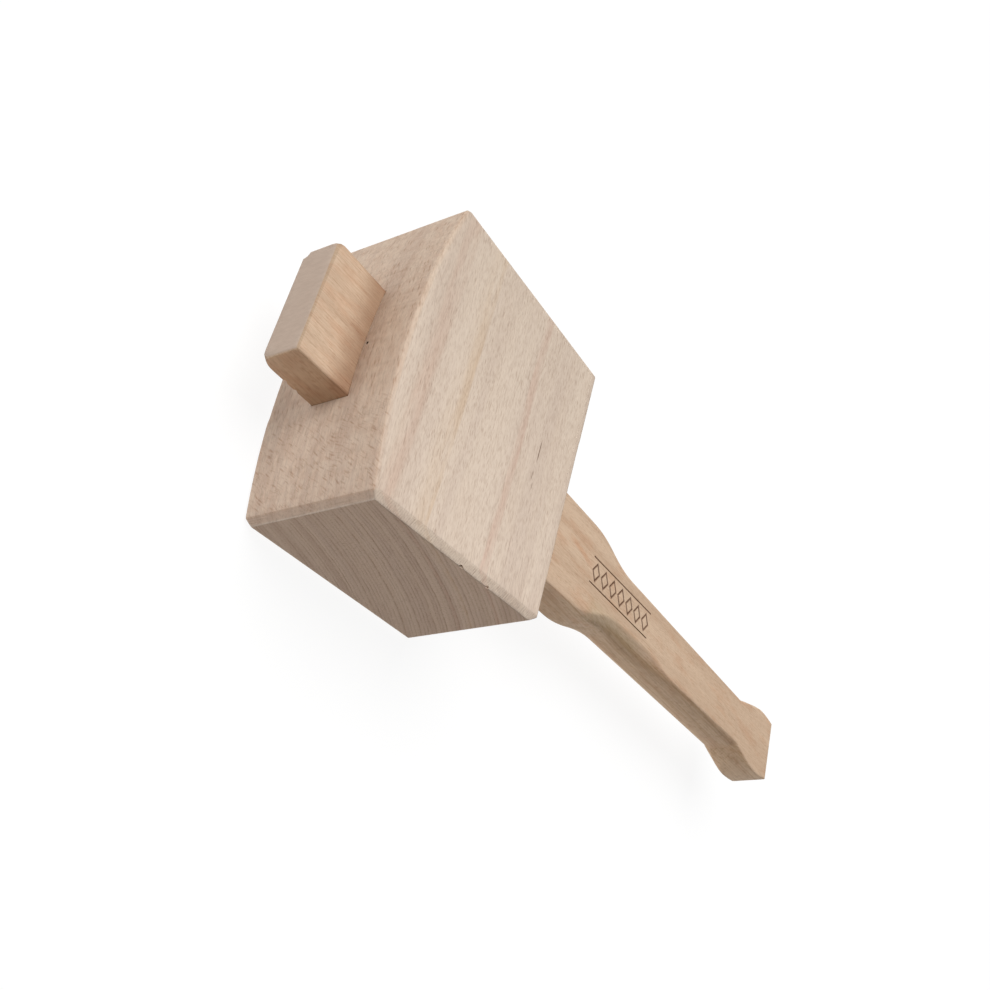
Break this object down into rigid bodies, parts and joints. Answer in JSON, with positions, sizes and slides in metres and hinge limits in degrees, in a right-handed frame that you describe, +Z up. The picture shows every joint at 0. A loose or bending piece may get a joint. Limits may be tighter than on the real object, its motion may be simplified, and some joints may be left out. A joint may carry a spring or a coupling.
{
  "type": "carpenter's mallet",
  "caption": "Joiner's mallet: crowned block head with two leaning striking faces, and a tapered wedge-fit handle with ogee shoulder, chamfered grip and flared end.",
  "frame": {"origin": "middle of the head's lower cheek, on the surface that the mallet lies on, at the middle of the head's height", "axes": "+X is the striking direction, +Y runs along the handle from the grip towards the crown of the head, +Z is up, square to the cheeks"},
  "size_m": [0.1396, 0.3632, 0.065],
  "materials": {
    "head_wood": "sanded beech, unvarnished",
    "handle_wood": "sanded beech, lightly oiled, with a burnt-in lozenge band"
  },
  "bodies": {
    "head": {"head": "head_wood"},
    "handle": {"handle": "handle_wood"}
  },
  "joints": [
    {"name": "handle_draw", "type": "slide", "parent": "head", "child": "handle", "axis": [0, 1, 0], "range_m": [0, 0.345]}
  ]
}
